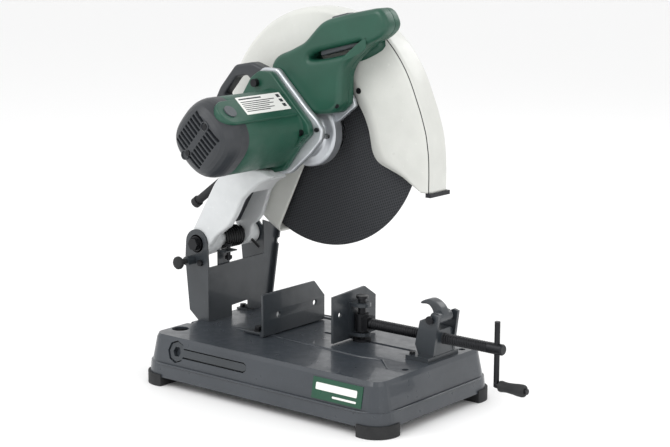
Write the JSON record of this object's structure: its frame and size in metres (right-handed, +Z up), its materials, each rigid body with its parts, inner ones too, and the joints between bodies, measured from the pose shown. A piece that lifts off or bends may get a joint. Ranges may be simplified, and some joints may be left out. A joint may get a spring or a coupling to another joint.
{
  "type": "abrasive chop saw",
  "caption": "Abrasive chop saw on a stamped base: a sprung arm carries a motor, guarded cutting disc and D-handle over a swivelling fence and a screw vice with a crank.",
  "frame": {"origin": "on the bench, under the middle of the machine", "axes": "+X towards the operator and the vice crank, +Y from the motor side to the disc side, +Z up"},
  "size_m": [0.6175, 0.2845, 0.558],
  "materials": {
    "pan_paint": "satin textured paint",
    "bracket_paint": "satin paint",
    "rubber_black": "matte",
    "black_steel": "black oxide",
    "bright_steel": "machined",
    "spring_steel": "oiled black",
    "green_shell": "fine grained plastic",
    "dark_shell": "fine grained plastic",
    "grey_control": "smooth plastic",
    "cast_alloy": "as cast, bead blasted",
    "arm_paint": "pale grey paint",
    "guard_paint": "pale grey paint",
    "abrasive": "bonded grit with a woven mesh",
    "bronze": "sintered",
    "copper_wound": "varnished windings",
    "label_film": "printed film",
    "badge_green": "smooth plate",
    "carbon": "pressed carbon"
  },
  "bodies": {
    "base": {"base_pan": "pan_paint", "base_feet": "rubber_black", "foot_screws": "black_steel", "badge_plate": "badge_green", "pivot_bracket": "bracket_paint", "bracket_bolts": "black_steel", "pivot_bolt": "black_steel", "pivot_nut": "black_steel", "torsion_spring": "spring_steel", "stop_plate": "bracket_paint", "pin_boss": "bracket_paint", "fence_bolt": "black_steel", "nut_block": "bracket_paint", "nut_block_bolts": "black_steel", "lever_pin": "black_steel"},
    "spanner": {"spanner": "bracket_paint"},
    "stop_screw": {"stop_screw": "black_steel"},
    "transport_pin": {"transport_pin": "black_steel"},
    "arm": {"arm_casting": "arm_paint", "pivot_bushes": "bronze", "gear_case": "cast_alloy", "gear_cover": "cast_alloy", "case_screws": "black_steel", "spindle_bearings": "bright_steel", "armature_bearings": "bright_steel", "stator": "copper_wound", "carbon_brushes": "carbon", "brush_cap": "grey_control", "motor_housing": "green_shell", "rating_label": "label_film", "motor_end_cap": "dark_shell", "motor_screws": "black_steel", "carry_handle": "dark_shell", "cord_gland": "rubber_black", "handle_left": "green_shell", "handle_right": "green_shell", "handle_screws": "black_steel", "switch_unit": "rubber_black", "fixed_guard": "guard_paint"},
    "disc": {"cutting_disc": "abrasive", "spindle": "bright_steel", "spindle_gear": "bright_steel", "inner_flange": "bright_steel", "outer_flange": "bright_steel", "disc_bolt": "black_steel"},
    "armature": {"armature_core": "copper_wound", "armature_shaft": "bright_steel", "cooling_fan": "rubber_black"},
    "spindle_lock": {"spindle_lock": "bright_steel"},
    "trigger": {"trigger": "grey_control"},
    "lock_button": {"lock_button": "grey_control"},
    "lower_guard": {"lower_guard": "guard_paint", "guard_bar": "black_steel"},
    "fence": {"fence": "bracket_paint"},
    "carriage": {"jaw_carriage": "black_steel"},
    "jaw": {"jaw": "bracket_paint"},
    "screw": {"vice_screw": "black_steel", "crank_rod": "black_steel"},
    "crank_grip": {"crank_grip": "dark_shell"},
    "release_lever": {"release_lever": "bracket_paint"}
  },
  "joints": [
    {"name": "arm_pivot", "type": "hinge", "parent": "base", "child": "arm", "pos_m": [-0.249, 0.04, 0.196], "axis": [0, 1, 0], "range_deg": [0, 43.8], "stiffness_Nm_per_rad": 14, "springref_deg": -68.75},
    {"name": "disc_spin", "type": "hinge", "parent": "arm", "child": "disc", "pos_m": [-0.104, 0.108, 0.371], "axis": [0, 1, 0], "continuous": true},
    {"name": "armature_spin", "type": "hinge", "parent": "arm", "child": "armature", "pos_m": [-0.13284, 0, 0.37927], "axis": [0, 1, 0], "continuous": true},
    {"name": "guard_swing", "type": "hinge", "parent": "arm", "child": "lower_guard", "pos_m": [-0.104, 0.128, 0.371], "axis": [0, 1, 0], "range_deg": [-79, 0]},
    {"name": "spindle_lock_slide", "type": "slide", "parent": "arm", "child": "spindle_lock", "axis": [-1, 0, 0], "range_m": [0, 0.0048], "stiffness_N_per_m": 300, "springref_m": -0.002},
    {"name": "trigger_slide", "type": "slide", "parent": "arm", "child": "trigger", "axis": [-0.2562, 0, 0.9666], "range_m": [0, 0.004], "stiffness_N_per_m": 400, "springref_m": -0.002},
    {"name": "lock_button_slide", "type": "slide", "parent": "arm", "child": "lock_button", "axis": [0.2425, 0, -0.9701], "range_m": [0, 0.004], "stiffness_N_per_m": 300, "springref_m": -0.002},
    {"name": "transport_pin_slide", "type": "slide", "parent": "base", "child": "transport_pin", "axis": [0, -1, 0], "range_m": [0, 0.014]},
    {"name": "stop_screw_slide", "type": "slide", "parent": "base", "child": "stop_screw", "axis": [0, 0, 1], "range_m": [-0.0055, 0]},
    {"name": "spanner_out", "type": "slide", "parent": "base", "child": "spanner", "axis": [0, -0.9816, 0.1909], "range_m": [0, 0.04]},
    {"name": "fence_swivel", "type": "hinge", "parent": "base", "child": "fence", "pos_m": [-0.119, 0.08, 0.079], "axis": [0, 0, -1], "range_deg": [0, 45]},
    {"name": "vice_slide", "type": "slide", "parent": "base", "child": "carriage", "axis": [1, 0, 0], "range_m": [-0.0601, 0.0901]},
    {"name": "jaw_swivel", "type": "hinge", "parent": "carriage", "child": "jaw", "pos_m": [0.022, 0.04, 0.1], "axis": [0, 0, 1], "range_deg": [-30, 30]},
    {"name": "screw_spin", "type": "hinge", "parent": "carriage", "child": "screw", "pos_m": [0.165, 0.04, 0.104], "axis": [1, 0, 0], "range_deg": [-5400, 8100]},
    {"name": "crank_grip_spin", "type": "hinge", "parent": "screw", "child": "crank_grip", "pos_m": [0.285, 0.04, 0.052], "axis": [1, 0, 0], "continuous": true},
    {"name": "release_lever_lift", "type": "hinge", "parent": "base", "child": "release_lever", "pos_m": [0.164, 0.04, 0.135], "axis": [0, 1, 0], "range_deg": [0, 70]}
  ],
  "couplings": [
    {"joint": "armature_spin", "follows": "disc_spin", "ratio": -3},
    {"joint": "guard_swing", "follows": "arm_pivot", "ratio": -1.8},
    {"joint": "vice_slide", "follows": "screw_spin", "m_per_rad": 0.0006366}
  ]
}
